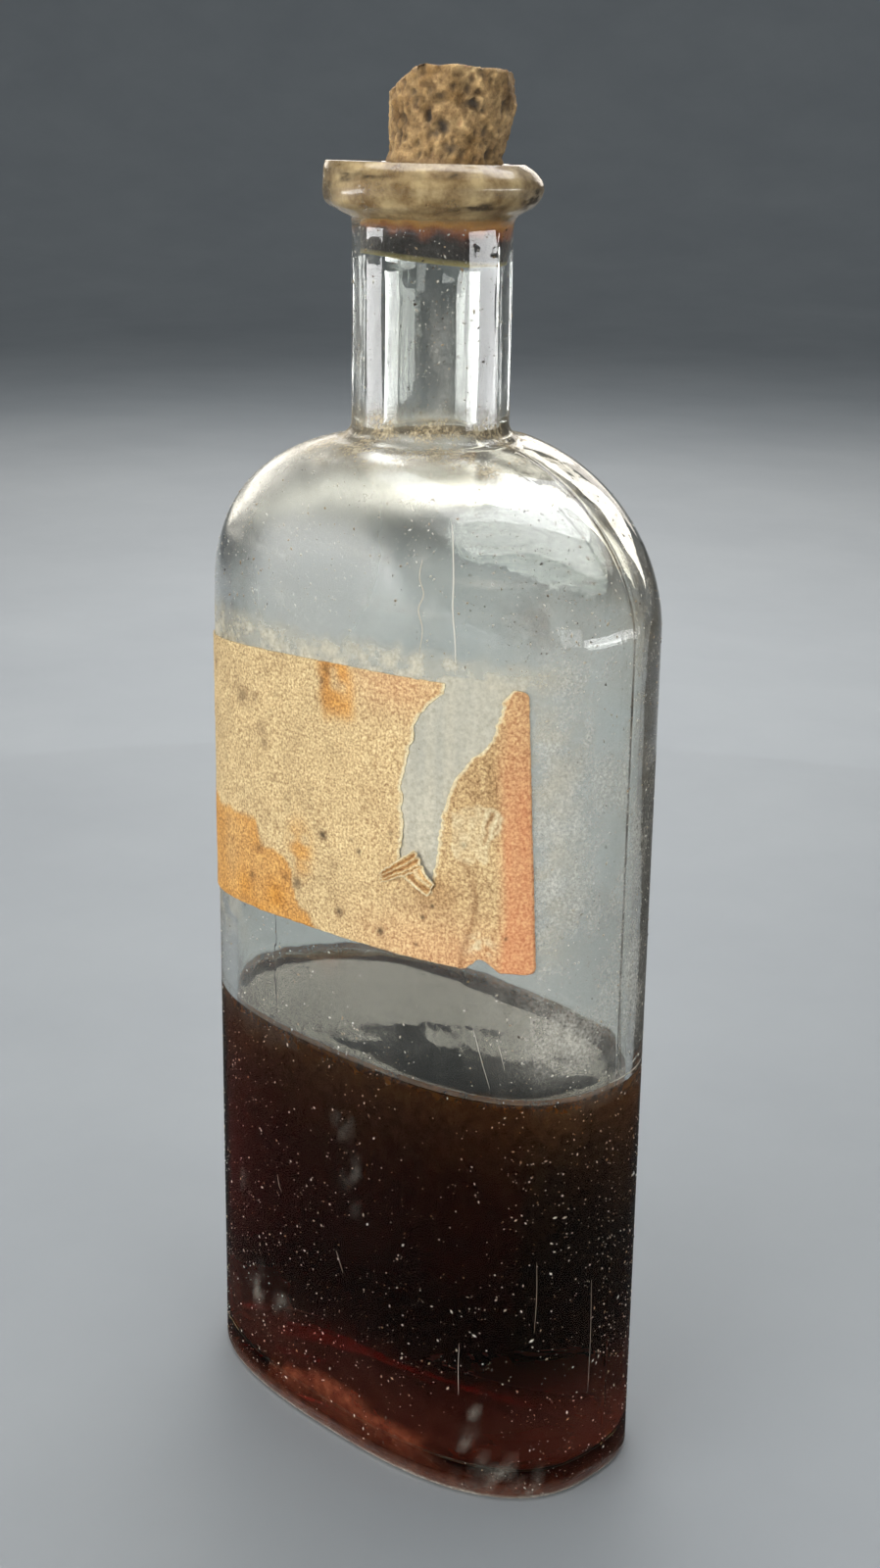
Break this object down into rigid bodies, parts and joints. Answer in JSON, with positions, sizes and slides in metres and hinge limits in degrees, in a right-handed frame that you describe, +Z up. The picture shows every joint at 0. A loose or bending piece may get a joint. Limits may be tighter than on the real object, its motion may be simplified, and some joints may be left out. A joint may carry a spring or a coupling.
{
  "type": "apothecary bottle",
  "caption": "Corked clear-glass apothecary bottle of oval section with a tooled lip, a torn paper label and a dark tincture inside; the cork pulls out.",
  "frame": {"origin": "middle of the base, on the surface that the bottle stands on", "axes": "+Z up through the neck, -Y out of the broad front that carries the label, X along the width of the oval"},
  "size_m": [0.0716, 0.0401, 0.1936],
  "materials": {
    "bottle_glass": "clear old glass, fire polished, with seeds, dust and fine scratches",
    "cork_bark": "dry crumbling cork, soaked dark brown where it sits in the neck",
    "label_paper": "browned matt paper with foxing, stains and torn fibrous edges",
    "tincture": "still, dark brown, nearly opaque liquid"
  },
  "bodies": {
    "bottle": {"glass_bottle": "bottle_glass", "liquid_fill": "tincture", "paper_label": "label_paper"},
    "stopper": {"cork_stopper": "cork_bark"}
  },
  "joints": [
    {"name": "cork_pull", "type": "slide", "parent": "bottle", "child": "stopper", "axis": [0.0813, 0.0813, 0.9934], "range_m": [0, 0.045]}
  ]
}
